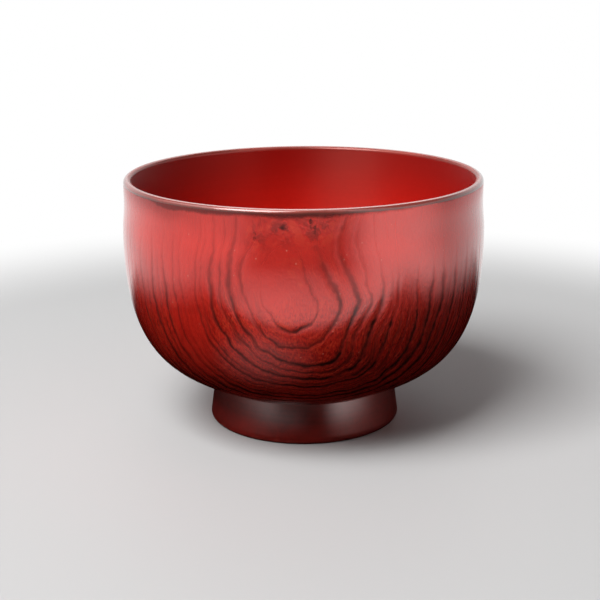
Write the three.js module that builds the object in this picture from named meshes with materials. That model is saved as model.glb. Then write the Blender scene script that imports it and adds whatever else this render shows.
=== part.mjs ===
// Lacquered wooden soup bowl: a turned cup on a separately turned ring foot,
// hemp cloth over the lip and the foot, and lacquer coats over all of it.
// Millimetres, +Z up. The origin is the middle of the standing plane.

import * as THREE from 'three';

// Cup
const BOWL_HEIGHT = 80;
const BOWL_DIAMETER = 115;        // across the belly, the widest part
const BELLY_HEIGHT = 61;          // height of the belly above the table
const UNDERSIDE_SLOPE = 27;       // degrees, where the cup leaves the foot
const UNDERSIDE_RUN = 14;         // how far the underside keeps to that slope
const BELLY_DROP = 39.5;          // how far the wall falls before it turns under
const SHOULDER_PULL = 7;          // length of the easing between belly and lip
const WALL_THICKNESS = 3.2;       // at the belly
const FLOOR_HEIGHT = 17.5;        // top of the inside floor above the table
const FLOOR_SPREAD = 42;          // how far out the inside floor stays flat
const INSIDE_DROP = 36;           // how far the inside wall falls before it turns in

// Lip
const LIP_DIAMETER = 113.6;       // outside
const LIP_THICKNESS = 2.5;        // fully rounded
const LIP_CLOTH_LAP = 4;          // how far the cloth reaches down each side

// Foot
const FOOT_HEIGHT = 12.7;         // table to the crease under the cup
const FOOT_TOP_DIAMETER = 58.8;
const FOOT_BASE_DIAMETER = 61.8;
const FOOT_EDGE_THICKNESS = 4.6;  // across the standing edge
const FOOT_EDGE_ROUND = 1.2;
const RECESS_DEPTH = 9;           // hollow under the foot
const RECESS_TOP_DIAMETER = 50.4;

// Build-up of the finish
const LACQUER = 0.3;
const CLOTH = 0.25;
const SPIGOT_CLEARANCE = 0.15;    // glue line round the spigot

// Facets
const SEGMENTS = 48;
const UNDERSIDE_STEPS = 11;
const INSIDE_STEPS = 9;
const SHOULDER_STEPS = 3;
const LIP_STEPS = 4;
const EDGE_STEPS = 2;

const point = (radius, height) => new THREE.Vector2(radius, height);

/** Points along a curve, its first one left out because the stretch before ends there. */
const follow = (curve, steps) => curve.getPoints(steps).slice(1);

/** The finished surface of the bowl as one half-section, from the axis under the foot,
 *  round the foot, up the outside, over the lip and down the inside to the axis.
 *  The material lies to the left all the way. `mark` holds the index of each corner. */
function finishedSection() {
  const points = [point(0, RECESS_DEPTH)];
  const mark = {};
  const reach = (name, stretch) => {
    points.push(...stretch);
    mark[name] = points.length - 1;
  };

  const footBase = FOOT_BASE_DIAMETER / 2;
  const edgeInside = footBase - FOOT_EDGE_THICKNESS;
  const round = FOOT_EDGE_ROUND;
  reach('recessCorner', [point(RECESS_TOP_DIAMETER / 2, RECESS_DEPTH)]);
  reach('footInside', [point(edgeInside, round)]);
  const innerRound = new THREE.EllipseCurve(edgeInside + round, round, round, round, Math.PI, 1.5 * Math.PI);
  const outerRound = new THREE.EllipseCurve(footBase - round, round, round, round, -0.5 * Math.PI, 0);
  reach('standingInside', follow(innerRound, EDGE_STEPS));
  reach('standingOutside', [point(footBase - round, 0)]);
  reach('footOutside', follow(outerRound, EDGE_STEPS));
  reach('crease', [point(FOOT_TOP_DIAMETER / 2, FOOT_HEIGHT)]);

  const crease = points[mark.crease];
  const slope = THREE.MathUtils.degToRad(UNDERSIDE_SLOPE);
  const belly = point(BOWL_DIAMETER / 2, BELLY_HEIGHT);
  const lipRound = LIP_THICKNESS / 2;
  const lipHeight = BOWL_HEIGHT - lipRound;
  const lapHeight = lipHeight - LIP_CLOTH_LAP;
  const lipOutside = LIP_DIAMETER / 2;
  const lipInside = lipOutside - LIP_THICKNESS;
  const underside = new THREE.CubicBezierCurve(
    crease,
    point(crease.x + UNDERSIDE_RUN * Math.cos(slope), crease.y + UNDERSIDE_RUN * Math.sin(slope)),
    point(belly.x, belly.y - BELLY_DROP),
    belly,
  );
  const shoulder = new THREE.CubicBezierCurve(
    belly,
    point(belly.x, belly.y + SHOULDER_PULL),
    point(lipOutside, lapHeight - SHOULDER_PULL),
    point(lipOutside, lapHeight),
  );
  const lip = new THREE.EllipseCurve(lipInside + lipRound, lipHeight, lipRound, lipRound, 0, Math.PI);
  reach('belly', follow(underside, UNDERSIDE_STEPS));
  reach('lapOutside', follow(shoulder, SHOULDER_STEPS));
  reach('lipOutside', [point(lipOutside, lipHeight)]);
  reach('lipInside', follow(lip, LIP_STEPS));
  reach('lapInside', [point(lipInside, lapHeight)]);

  const wallInside = point(belly.x - WALL_THICKNESS, BELLY_HEIGHT);
  const inside = new THREE.CubicBezierCurve(
    wallInside,
    point(wallInside.x, wallInside.y - INSIDE_DROP),
    point(FLOOR_SPREAD, FLOOR_HEIGHT),
    point(0, FLOOR_HEIGHT),
  );
  reach('wallInside', [wallInside]);
  reach('floor', follow(inside, INSIDE_STEPS));
  return { points, mark };
}

/** The same section moved into the material by a depth, mitred at every corner.
 *  Past the axis it goes on as its own mirror image. */
function inset(points, depth) {
  const mirrored = ({ x, y }) => point(-x, y);
  const normal = (a, b) => point(a.y - b.y, b.x - a.x).normalize();
  return points.map((at, index) => {
    const last = points[index - 1] ?? mirrored(points[index + 1]);
    const next = points[index + 1] ?? mirrored(last);
    const before = normal(last, at);
    const after = normal(at, next);
    const mitre = before.clone().add(after).multiplyScalar(depth / (1 + before.dot(after)));
    return at.clone().add(mitre);
  });
}

/** Where the straight stretch from a to b passes a height. */
function atHeight(a, b, height) {
  const share = (height - a.y) / (b.y - a.y);
  return point(a.x + share * (b.x - a.x), height);
}

/** A closed half-section turned about the bowl's axis. A section with an edge on the axis
 *  is opened there, and any other closes on itself. */
function turned(section) {
  const following = (index) => section[(index + 1) % section.length];
  const axisEdge = section.findIndex((at, index) => at.x === 0 && following(index).x === 0);
  const outline = axisEdge < 0
    ? [...section, section[0]]
    : [...section.slice(axisEdge + 1), ...section.slice(0, axisEdge + 1)];
  const geometry = new THREE.LatheGeometry(outline, SEGMENTS);
  return geometry.rotateX(Math.PI / 2);
}

/** A layer between two depths, from one corner of the section to another. */
const layer = (outer, inner, from, to) => [
  ...outer.slice(from, to + 1),
  ...inner.slice(from, to + 1).reverse(),
];

const { points: finish, mark } = finishedSection();
const underLacquer = inset(finish, LACQUER);
const underCloth = inset(finish, LACQUER + CLOTH);
const lastIndex = finish.length - 1;

// The joint of cup and foot: the ring's top bears on the cup's shoulder, its bore holds the spigot.
const shoulderHeight = underLacquer[mark.crease].y;
const spigotHeight = underLacquer[mark.recessCorner].y;
const ringTop = atHeight(underCloth[mark.footOutside], underCloth[mark.crease], shoulderHeight);
const ringBore = atHeight(underCloth[mark.recessCorner], underCloth[mark.footInside], spigotHeight);
const spigotRadius = ringBore.x - SPIGOT_CLEARANCE;

function woodenCup() {
  return turned([
    point(0, spigotHeight),
    point(spigotRadius, spigotHeight),
    point(spigotRadius, shoulderHeight),
    ...underLacquer.slice(mark.crease, mark.lapOutside + 1),
    ...underCloth.slice(mark.lapOutside, mark.lapInside + 1),
    ...underLacquer.slice(mark.lapInside),
  ]);
}

function footRing() {
  return turned([
    point(ringBore.x, shoulderHeight),
    ringBore,
    ...underCloth.slice(mark.footInside, mark.footOutside + 1),
    ringTop,
  ]);
}

function footCloth() {
  const outerFace = underLacquer.slice(mark.recessCorner, mark.crease + 1);
  const innerFace = underCloth.slice(mark.footInside, mark.footOutside + 1);
  return turned([...outerFace, ringTop, ...innerFace.reverse(), ringBore]);
}

const lipCloth = () => turned(layer(underLacquer, underCloth, mark.lapOutside, mark.lapInside));
const coat = (from, to) => turned(layer(finish, underLacquer, from, to));

const colours = {
  zelkova: { color: 0xa9773f, roughness: 0.75 },
  hemp: { color: 0x8c7a55, roughness: 0.95 },
  redOverBlack: { color: 0x9c2a22, roughness: 0.28 },
  vermilion: { color: 0xa81410, roughness: 0.3 },
  lipBrown: { color: 0x6e2c22, roughness: 0.22 },
  footRed: { color: 0x551a17, roughness: 0.3 },
};

const bowl = new THREE.Group();

function add(name, geometry, { color, roughness }) {
  const mesh = new THREE.Mesh(geometry, new THREE.MeshStandardMaterial({ color, roughness, metalness: 0 }));
  mesh.name = name;
  bowl.add(mesh);
}

add('wooden_cup', woodenCup(), colours.zelkova);
add('foot_ring', footRing(), colours.zelkova);
add('lip_cloth', lipCloth(), colours.hemp);
add('foot_cloth', footCloth(), colours.hemp);
add('outer_lacquer', coat(mark.crease, mark.lipOutside), colours.redOverBlack);
add('lip_lacquer', coat(mark.lipOutside, mark.lipInside), colours.lipBrown);
add('inner_lacquer', coat(mark.lipInside, lastIndex), colours.vermilion);
add('foot_lacquer', coat(mark.recessCorner, mark.crease), colours.footRed);
add('base_lacquer', coat(0, mark.recessCorner), colours.footRed);

export default bowl;
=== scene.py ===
"""Looks of the lacquered wooden soup bowl.

Every piece is turned again on the section of its CAD node, with finer facets: the wooden cup and
its foot, the cloth over lip and foot, and the five coats of lacquer, which meet in the same edges.
Sizes are in millimetres in the bowl's classes, and in metres in the studio and in the meshes. The
oval grain figure faces -Y.
"""

import logging
import math
import random
from dataclasses import dataclass
from enum import Enum
from typing import Union

import bpy
import numpy as np
from mathutils import Matrix, Vector


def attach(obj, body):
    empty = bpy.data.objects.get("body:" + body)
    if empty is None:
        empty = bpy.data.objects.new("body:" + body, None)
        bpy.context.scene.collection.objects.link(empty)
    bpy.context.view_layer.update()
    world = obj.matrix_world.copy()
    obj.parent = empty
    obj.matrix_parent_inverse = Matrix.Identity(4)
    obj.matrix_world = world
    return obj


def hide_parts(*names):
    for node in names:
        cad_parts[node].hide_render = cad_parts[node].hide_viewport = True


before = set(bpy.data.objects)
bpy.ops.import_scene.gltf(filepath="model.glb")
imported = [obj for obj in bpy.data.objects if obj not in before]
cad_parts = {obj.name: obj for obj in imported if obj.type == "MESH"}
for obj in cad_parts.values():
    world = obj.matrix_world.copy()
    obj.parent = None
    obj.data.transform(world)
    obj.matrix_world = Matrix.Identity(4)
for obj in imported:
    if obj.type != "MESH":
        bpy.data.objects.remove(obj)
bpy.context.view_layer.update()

MM = 0.001
LACQUER = 0.3  # thickness of the coats in millimetres
CLOTH = 0.25  # thickness of the cloth in millimetres
TINY = 1e-6  # keeps a division from failing on the axis
# Middle of Blender's soft noise, and how far it mostly strays from that.
NOISE_MIDDLE = 0.5
NOISE_REACH = 0.25

Colour = tuple[float, float, float]
Place = tuple[float, float, float]
Pair = tuple[float, float]
# Where a smooth step starts and ends, and the result before and after it.
Step = tuple[float, float, float, float]
Socket = bpy.types.NodeSocket
Value = Union[float, Socket]

log = logging.getLogger("soup_bowl")


class Run(Enum):
    """Stretches of the finished section, from the axis under the foot to the axis inside the cup.

    The value is the coat on that stretch, which is also the CAD node that it stands for.
    """

    BASE = "base_lacquer"
    FOOT = "foot_lacquer"
    OUTSIDE = "outer_lacquer"
    LIP = "lip_lacquer"
    INSIDE = "inner_lacquer"


class Slot(Enum):
    """Material slots of the part."""

    ZELKOVA = "zelkova"
    HEMP = "hemp"
    RED_OVER_BLACK = "red_over_black"
    LIP_BROWN = "lip_brown"
    VERMILION = "vermilion"
    FOOT_RED = "foot_red"


# Section of the bowl


def point(radius: float, height: float) -> Vector:
    """A point of the half-section, in millimetres."""
    return Vector((radius, height))


def radians(*angles: float) -> list[float]:
    """Angles in radians, from degrees."""
    return [math.radians(angle) for angle in angles]


def straight(start: Vector, end: Vector, steps: int) -> list[Vector]:
    """Points along a straight stretch, both ends included."""
    return [start.lerp(end, index / steps) for index in range(steps + 1)]


def arc(centre: Vector, radius: float, start: float, end: float, steps: int) -> list[Vector]:
    """Points along a circular arc.

    Args:
        centre: middle of the circle.
        radius: its radius in millimetres.
        start: first angle in degrees, from the outward direction.
        end: last angle in degrees.
        steps: number of stretches.

    Returns:
        The points, both ends included.
    """
    angles = radians(*(start + (end - start) * index / steps for index in range(steps + 1)))
    return [centre + radius * Vector((math.cos(angle), math.sin(angle))) for angle in angles]


def sweep(poles: tuple[Vector, Vector, Vector, Vector], steps: int) -> list[Vector]:
    """Points along a cubic Bezier curve, both ends included.

    Args:
        poles: the curve's two ends with its two handles between them.
        steps: number of stretches.

    Returns:
        The points, at even steps of the curve's parameter.
    """
    start, first, second, end = poles
    points = []
    for index in range(steps + 1):
        share = index / steps
        rest = 1.0 - share
        points.append(
            rest**3 * start
            + 3 * rest**2 * share * first
            + 3 * rest * share**2 * second
            + share**3 * end
        )
    return points


def at_height(start: Vector, end: Vector, height: float) -> Vector:
    """Where the straight line through two points passes a height."""
    return start.lerp(end, (height - start.y) / (end.y - start.y))


def chain(*stretches: list[Vector]) -> list[Vector]:
    """Joins stretches that meet end to end.

    Args:
        stretches: points of each stretch.

    Returns:
        All points in one list, none of them doubled.
    """
    points = list(stretches[0])
    for stretch in stretches[1:]:
        points.extend(stretch[1:])
    return points


class Section:
    """The finished half-section, and the same section under the lacquer and under the cloth."""

    def __init__(self, runs: dict[Run, list[Vector]], lacquer: float, cloth: float) -> None:
        """Joins the runs and sinks copies of them into the material.

        Args:
            runs: points of each stretch, each starting where the one before ends.
            lacquer: thickness of the coats in millimetres.
            cloth: thickness of the cloth in millimetres.
        """
        self.finish: list[Vector] = []
        self.spans: dict[Run, slice] = {}
        for run, points in runs.items():
            start = max(len(self.finish) - 1, 0)
            self.finish.extend(points[1:] if self.finish else points)
            self.spans[run] = slice(start, len(self.finish))
        self.under = self._sunk(lacquer)
        self.bare = self._sunk(lacquer + cloth)

    def _sunk(self, depth: float) -> list[Vector]:
        """The section moved into the material, mitred at corners and mirrored past the axis.

        Args:
            depth: how far it moves to its left, in millimetres.

        Returns:
            The moved points.
        """

        def left(start: Vector, end: Vector) -> Vector:
            """Direction to the left of a stretch."""
            return Vector((start.y - end.y, end.x - start.x)).normalized()

        def mirrored(at: Vector) -> Vector:
            """A point on the other side of the axis."""
            return Vector((-at.x, at.y))

        sunk = []
        last_index = len(self.finish) - 1
        for index, here in enumerate(self.finish):
            last = self.finish[index - 1] if index else mirrored(self.finish[1])
            after = self.finish[index + 1] if index < last_index else mirrored(last)
            coming, going = left(last, here), left(here, after)
            sunk.append(here + (coming + going) * depth / (1.0 + coming.dot(going)))
        return sunk

    def coat(self, run: Run, stride: int) -> list[Vector]:
        """The closed outline of one coat.

        Args:
            run: the stretch that it covers.
            stride: how many points of the hidden side are stepped over at a time.

        Returns:
            The outline. One that touches the axis starts and ends there, any other ends where it starts.
        """
        outer = self.finish[self.spans[run]]
        inner = self.under[self.spans[run]]
        if outer[-1].x == 0.0:
            outer, inner = outer[::-1], inner[::-1]
        hidden = inner[:-1:stride] + [inner[-1]]
        outline = outer + hidden[::-1]
        if outer[0].x > 0.0:
            outline.append(outer[0])
        return outline


@dataclass
class Lathe:
    """Turns outlines about the bowl's axis with Blender's modelling operators.

    Args:
        merge_distance: how near in millimetres points are one point.
        crisp: angle in degrees from which an edge stays sharp.
    """

    merge_distance: float = 0.0005
    crisp: float = 35.0

    def turn(self, name: str, outline: list[Vector], steps: int) -> bpy.types.Object:
        """Turns one outline into a closed piece.

        Args:
            name: name of the new piece.
            outline: points of the half-section in millimetres.
            steps: number of facets round the axis.

        Returns:
            The piece, with its origin on the bowl's own.
        """
        bpy.ops.object.select_all(action="DESELECT")
        bpy.ops.mesh.primitive_plane_add(size=MM, location=self._place(outline[0]))
        piece = bpy.context.object
        piece.name = name
        piece.data.name = name
        bpy.ops.object.transform_apply(location=True, rotation=True, scale=True)
        bpy.ops.object.mode_set(mode="EDIT")
        bpy.ops.mesh.select_all(action="SELECT")
        bpy.ops.mesh.merge(type="CENTER")
        for here, after in zip(outline, outline[1:]):
            step = self._place(after) - self._place(here)
            bpy.ops.mesh.extrude_region_move(TRANSFORM_OT_translate={"value": step})
        self._merge()
        bpy.ops.object.mode_set(mode="OBJECT")
        turning = piece.modifiers.new("turning", "SCREW")
        turning.axis = "Z"
        turning.angle = math.tau
        turning.steps = steps
        turning.render_steps = steps
        bpy.ops.object.modifier_apply(modifier=turning.name)
        bpy.ops.object.mode_set(mode="EDIT")
        self._merge()
        bpy.ops.mesh.normals_make_consistent(inside=False)
        bpy.ops.object.mode_set(mode="OBJECT")
        bpy.ops.object.shade_smooth_by_angle(angle=math.radians(self.crisp))
        return piece

    @staticmethod
    def _place(at: Vector) -> Vector:
        """A point of the section, in the XZ plane and in metres."""
        return Vector((at.x, 0.0, at.y)) * MM

    def _merge(self) -> None:
        """Merges doubled points all over the mesh."""
        bpy.ops.mesh.select_all(action="SELECT")
        bpy.ops.mesh.remove_doubles(threshold=self.merge_distance * MM)


# Growth rings of the wood


@dataclass(frozen=True)
class Swell:
    """A place where the growth rings rise to the wall or sink from it.

    Args:
        angle: degrees from the front, towards the right.
        height: millimetres above the floor.
        across: spread sideways in millimetres.
        up: spread up and down in millimetres.
        push: how far the rings rise, or sink if below zero, in millimetres.
    """

    angle: float
    height: float
    across: float
    up: float
    push: float

    def rise(self, at: np.ndarray, wall: float) -> np.ndarray:
        """How far the rings are pushed at each point.

        Args:
            at: points in millimetres, one to a row.
            wall: radius of the wall in millimetres.

        Returns:
            The push at each point in millimetres.
        """
        angle = math.radians(self.angle)
        side = at[:, 0] - wall * math.sin(angle)
        back = at[:, 1] + wall * math.cos(angle)
        rise = at[:, 2] - self.height
        spread = (side**2 + back**2) / self.across**2 + rise**2 / self.up**2
        return self.push * np.exp(-spread / 2.0)


@dataclass(frozen=True)
class Wobble:
    """Slow wandering of the growth rings, as a sum of plane waves.

    Args:
        wavelength: mean length of the waves in millimetres.
        size: how far the rings wander near the front, in millimetres.
        deeper: how much further they wander deep in the wood.
        seed: start of the random numbers.
        waves: number of waves.
        tall: how much longer they are upwards than sideways.
        lengths: shortest and longest wave, as shares of the wavelength.
    """

    wavelength: float
    size: float
    deeper: float
    seed: int
    waves: int = 9
    tall: float = 1.8
    lengths: Pair = (0.7, 1.5)

    def shift(self, at: np.ndarray, inward: np.ndarray) -> np.ndarray:
        """How far the rings wander at each point.

        Args:
            at: points in millimetres, one to a row.
            inward: 0 at the front of the wood to 1 deep inside it, at each point.

        Returns:
            The shift at each point in millimetres.
        """
        chance = random.Random(self.seed)
        total = np.zeros(len(at))
        for _ in range(self.waves):
            heading = Vector([chance.gauss(0.0, 1.0) for _ in range(3)]).normalized()
            heading.z /= self.tall
            length = self.wavelength * chance.uniform(*self.lengths)
            total += np.sin(math.tau * (at @ np.array(heading) / length + chance.random()))
        return total * math.sqrt(2.0 / self.waves) * (self.size + self.deeper * inward)


@dataclass(frozen=True)
class GrowthRings:
    """Growth rings of a plain-sawn block, which cut the wall in nested ovals front and back.

    Each swell gives its angle, its height, its spread across and up, and its push.
    """

    wall: float = 57.5
    # Depth in the wood from which the rings wander most.
    inward: float = 10.0
    # Depth of each ring behind the frontmost point of the wall, and how dark it shows.
    front: tuple[Pair, ...] = (
        (0.75, 0.45), (1.8, 0.8), (3.05, 1.0), (4.1, 0.6), (5.45, 1.0), (6.9, 0.55), (7.9, 0.95),
        (9.4, 0.3), (10.7, 0.3), (12.0, 0.85), (14.1, 1.0), (17.1, 1.0), (19.4, 0.35), (21.6, 1.0),
        (24.3, 0.35), (27.0, 0.85),
    )
    clear_wood: float = 3.0
    # The rings behind those: first and last depth, spacing, and how spacing and darkness vary.
    back_start: float = 30.4
    back_end: float = 120.0
    back_spacing: float = 2.6
    back_sway: Pair = (0.7, 1.9)
    back_dark: tuple[float, float, float] = (0.6, 0.35, 2.4)
    # How much deeper a ring lies on the left, to a millimetre, and the depths over which that ends.
    lean: float = 0.05
    lean_ends: Pair = (8.0, 14.0)
    # Length over which the spacing along the wall is taken, and the fewest rings to a millimetre.
    probe: float = 0.2
    least_rate: float = 0.02
    swells: tuple[Swell, ...] = (
        Swell(14, 32, 10, 5, -1.5),
        Swell(0, 34, 10, 4.5, -0.4),
        Swell(10, 66, 7, 7.5, 1.3),
        Swell(1, 62, 4.5, 5, 0.3),
        Swell(-5, 77.5, 9, 3, 0.5),
        Swell(-4, 45.5, 5, 3, -0.3),
        Swell(-18, 46, 7, 5, 0.2),
        Swell(16.5, 53.5, 3.5, 2, -0.3),
        Swell(25, 51.5, 6, 4, -0.6),
        Swell(188, 52, 9, 15, -2.2),
        Swell(171, 66, 6, 9, -1.4),
    )
    wobbles: tuple[Wobble, ...] = (
        Wobble(wavelength=17, size=0.03, deeper=0.22, seed=4),
        Wobble(wavelength=6, size=0.02, deeper=0.08, seed=9),
    )
    # Raggedness of the lines along the wall.
    ragged: tuple[Wobble, ...] = (
        Wobble(wavelength=3.6, size=0.13, deeper=0.0, seed=5),
        Wobble(wavelength=1.9, size=0.08, deeper=0.0, seed=7),
    )
    # Places where the red lies thicker, and the share of the rings' darkness that it hides. Below
    # zero, it lies thinner there.
    covers: tuple[Swell, ...] = (
        Swell(-46, 73, 26, 11, 0.9),
        Swell(-14, 75, 8, 6, 0.4),
        Swell(33, 70, 19, 11, 0.95),
        Swell(58, 73, 19, 9, 0.95),
        Swell(-35.5, 42, 5, 16, 0.8),
        Swell(-2.5, 45.8, 3.5, 1.6, -1.2),
        Swell(-13, 62, 3.5, 8, 0.75),
        Swell(-3, 70.5, 6, 4, 0.85),
        Swell(7, 62, 4, 5, -0.5),
        Swell(14.5, 57.5, 3, 4, -0.4),
        Swell(-72, 45, 16, 30, 0.6),
        Swell(72, 45, 14, 30, 0.35),
        Swell(150, 66, 22, 14, 0.6),
        Swell(215, 68, 24, 12, 0.6),
    )
    # Places where the lines alone are fainter, or darker if below zero.
    faint: tuple[Swell, ...] = (
        Swell(-14, 31, 20, 12, 0.5),
        Swell(20, 33, 9, 8, -0.3),
        Swell(-19, 52, 8, 6, 0.5),
        Swell(8, 50, 6, 7, 0.42),
        Swell(-50, 44, 10, 9, 0.3),
        Swell(48, 44, 9, 10, -1.0),
        Swell(-20, 63, 4.5, 9, -0.8),
        Swell(9, 63, 5, 7, -0.9),
    )

    def depth(self, at: np.ndarray) -> np.ndarray:
        """Depth in the wood, swells and wandering included.

        Args:
            at: points in millimetres, one to a row.

        Returns:
            The depth at each point in millimetres.
        """
        depth = at[:, 1] + self.wall
        inward = np.clip(depth / self.inward, 0.0, 1.0)
        depth = depth + self.lean * at[:, 0] * np.interp(depth, self.lean_ends, (1.0, 0.0))
        for swell in self.swells:
            depth = depth + swell.rise(at, self.wall)
        for wobble in self.wobbles:
            depth = depth + wobble.shift(at, inward)
        return depth

    def all_rings(self) -> tuple[np.ndarray, np.ndarray]:
        """Every ring from front to back, with one before the first.

        Returns:
            The depth of each in millimetres, and how dark it shows.
        """
        rear = np.arange(self.back_start, self.back_end, self.back_spacing)
        count = np.arange(len(rear))
        size, turn = self.back_sway
        rear = rear + size * np.sin(count * turn)
        mean, size, turn = self.back_dark
        rear_dark = mean + size * np.sin(count * turn)
        depths = [-self.clear_wood] + [depth for depth, _ in self.front]
        darks = [0.0] + [dark for _, dark in self.front]
        return np.concatenate([depths, rear]), np.concatenate([darks, rear_dark])

    def even_number(self, at: np.ndarray) -> np.ndarray:
        """Ring number at each point, before the lines are made ragged."""
        depths, _ = self.all_rings()
        return np.interp(self.depth(at), depths, np.arange(len(depths)) - 1.0)

    def number(self, at: np.ndarray, rate: np.ndarray) -> np.ndarray:
        """Ring number at each point, whole on the ring lines.

        Args:
            at: points in millimetres, one to a row.
            rate: rings per millimetre along the wall there.

        Returns:
            The number at each point.
        """
        level = np.zeros(len(at))
        return self.even_number(at) + rate * sum(wobble.shift(at, level) for wobble in self.ragged)

    def darkness(self, at: np.ndarray, number: np.ndarray) -> np.ndarray:
        """How dark the ring lines show.

        Args:
            at: points in millimetres, one to a row.
            number: ring number at each point.

        Returns:
            The darkness at each point, 0 to 1.
        """
        _, darks = self.all_rings()
        dark = np.interp(np.round(number), np.arange(len(darks)) - 1.0, darks)
        return np.clip(dark * self.left_bare(at, self.covers + self.faint), 0.0, 1.0)

    def left_bare(self, at: np.ndarray, covers: tuple[Swell, ...]) -> np.ndarray:
        """Share of the grain that covers leave bare.

        Args:
            at: points in millimetres, one to a row.
            covers: the places where they lie.

        Returns:
            The share at each point, more than 1 where the red lies thin.
        """
        bare = np.ones(len(at))
        for cover in covers:
            bare = bare * (1.0 - cover.rise(at, self.wall))
        return bare

    def rate(self, at: np.ndarray, normals: np.ndarray) -> np.ndarray:
        """Rings per millimetre along the wall at each point.

        Args:
            at: points in millimetres, one to a row.
            normals: the wall's normals there.

        Returns:
            The rate at each point.
        """
        around = np.stack([-at[:, 1], at[:, 0], np.zeros(len(at))], axis=1)
        around /= np.maximum(np.linalg.norm(around, axis=1, keepdims=True), TINY)
        along = np.cross(normals, around)
        here = self.even_number(at)
        sideways = self.even_number(at + self.probe * around) - here
        upwards = self.even_number(at + self.probe * along) - here
        return np.maximum(np.hypot(sideways, upwards) / self.probe, self.least_rate)


# Finishes


class Graph:
    """Adds and joins the nodes of one material."""

    def __init__(self, name: str) -> None:
        """Starts a material with its Principled shader.

        Args:
            name: the material's name.
        """
        self.material = bpy.data.materials.new(name)
        self.material.use_nodes = True
        self.tree = self.material.node_tree
        self.shader = self.tree.nodes["Principled BSDF"]
        self.output = self.tree.nodes["Material Output"]

    @classmethod
    def of_world(cls, world: bpy.types.World) -> "Graph":
        """The graph of a world.

        Args:
            world: the world, which uses nodes.

        Returns:
            Its graph, with the background as the shader.
        """
        graph = cls.__new__(cls)
        graph.tree = world.node_tree
        graph.shader = graph.tree.nodes["Background"]
        return graph

    def add(self, kind: str, **settings: object) -> bpy.types.Node:
        """Adds a node and sets its own properties.

        Args:
            kind: the node's type.
            settings: properties of the node, by name.

        Returns:
            The new node.
        """
        node = self.tree.nodes.new(kind)
        for name, value in settings.items():
            setattr(node, name, value)
        return node

    def feed(self, target: Socket, value: Union[Value, Colour, tuple]) -> None:
        """Joins a socket to another one, or sets its value.

        Args:
            target: the socket.
            value: the other socket, or a number, colour or vector.
        """
        if isinstance(value, bpy.types.NodeSocket):
            self.tree.links.new(value, target)
        elif isinstance(value, tuple) and len(value) == 3 and len(target.default_value) == 4:
            target.default_value = (*value, 1.0)
        else:
            target.default_value = value

    def set_shader(self, **values: Union[Value, Colour]) -> None:
        """Feeds sockets of the Principled shader.

        Args:
            values: what each is fed with, by its name with underscores for spaces.
        """
        sockets = {socket.name.lower().replace(" ", "_"): socket for socket in self.shader.inputs}
        for name, value in values.items():
            self.feed(sockets[name], value)

    def place(self) -> Socket:
        """The piece's own coordinates, in metres."""
        return self.add("ShaderNodeTexCoord").outputs["Object"]

    def axes(self) -> tuple[Socket, Socket, Socket]:
        """The piece's own coordinates one by one.

        Returns:
            Places to the right, to the back and upwards in metres.
        """
        node = self.add("ShaderNodeSeparateXYZ")
        self.feed(node.inputs[0], self.place())
        return node.outputs["X"], node.outputs["Y"], node.outputs["Z"]

    def attribute(self, name: str) -> Socket:
        """A number kept on the piece's points."""
        return self.add("ShaderNodeAttribute", attribute_name=name).outputs["Fac"]

    def math(self, operation: str, first: Value, second: Value = 0.0, clamp: bool = False) -> Socket:
        """One step of arithmetic.

        Args:
            operation: Blender's name for it.
            first: first operand.
            second: second operand, if it takes one.
            clamp: keeps the result from 0 to 1.

        Returns:
            The result.
        """
        node = self.add("ShaderNodeMath", operation=operation, use_clamp=clamp)
        self.feed(node.inputs[0], first)
        self.feed(node.inputs[1], second)
        return node.outputs[0]

    def times(self, first: Value, second: Value) -> Socket:
        """One number times another."""
        return self.math("MULTIPLY", first, second)

    def plus(self, first: Value, second: Value) -> Socket:
        """The sum of two numbers."""
        return self.math("ADD", first, second)

    def less(self, first: Value, second: Value) -> Socket:
        """One number less another."""
        return self.math("SUBTRACT", first, second)

    def most(self, first: Value, second: Value) -> Socket:
        """The greater of two numbers."""
        return self.math("MAXIMUM", first, second)

    def mm(self, place: Value) -> Socket:
        """A length in millimetres, from metres."""
        return self.times(place, 1.0 / MM)

    def reach(self, x: Socket, y: Socket) -> Socket:
        """Distance from the axis, or from any upright line that x and y are taken from."""
        return self.math("SQRT", self.plus(self.times(x, x), self.times(y, y)))

    def vector(self, x: Value, y: Value, z: Value) -> Socket:
        """A vector from three numbers.

        Args:
            x: its first part.
            y: its second part.
            z: its third part.

        Returns:
            The vector.
        """
        node = self.add("ShaderNodeCombineXYZ")
        for socket, value in zip(node.inputs, (x, y, z)):
            self.feed(socket, value)
        return node.outputs[0]

    def noise(self, scale: float, detail: float = 2.0, vector: Union[Socket, None] = None) -> Socket:
        """Soft noise from 0 to 1.

        Args:
            scale: features to a metre, or to a unit of the given vector.
            detail: number of finer layers.
            vector: where it is read, the piece's own coordinates if left out.

        Returns:
            The noise.
        """
        node = self.add("ShaderNodeTexNoise", noise_dimensions="3D")
        self.feed(node.inputs["Vector"], vector if vector is not None else self.place())
        self.feed(node.inputs["Scale"], scale)
        self.feed(node.inputs["Detail"], detail)
        return node.outputs["Fac"]

    def drawn_out(
        self, places: tuple[Socket, ...], counts: tuple[float, ...], detail: float = 3.0
    ) -> Socket:
        """Noise that is finer one way than another.

        Args:
            places: three numbers by which it is read.
            counts: features to a unit of each of them.
            detail: number of finer layers.

        Returns:
            The noise, 0 to 1.
        """
        scaled = (self.times(place, count) for place, count in zip(places, counts))
        return self.noise(1.0, detail, self.vector(*scaled))

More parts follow.
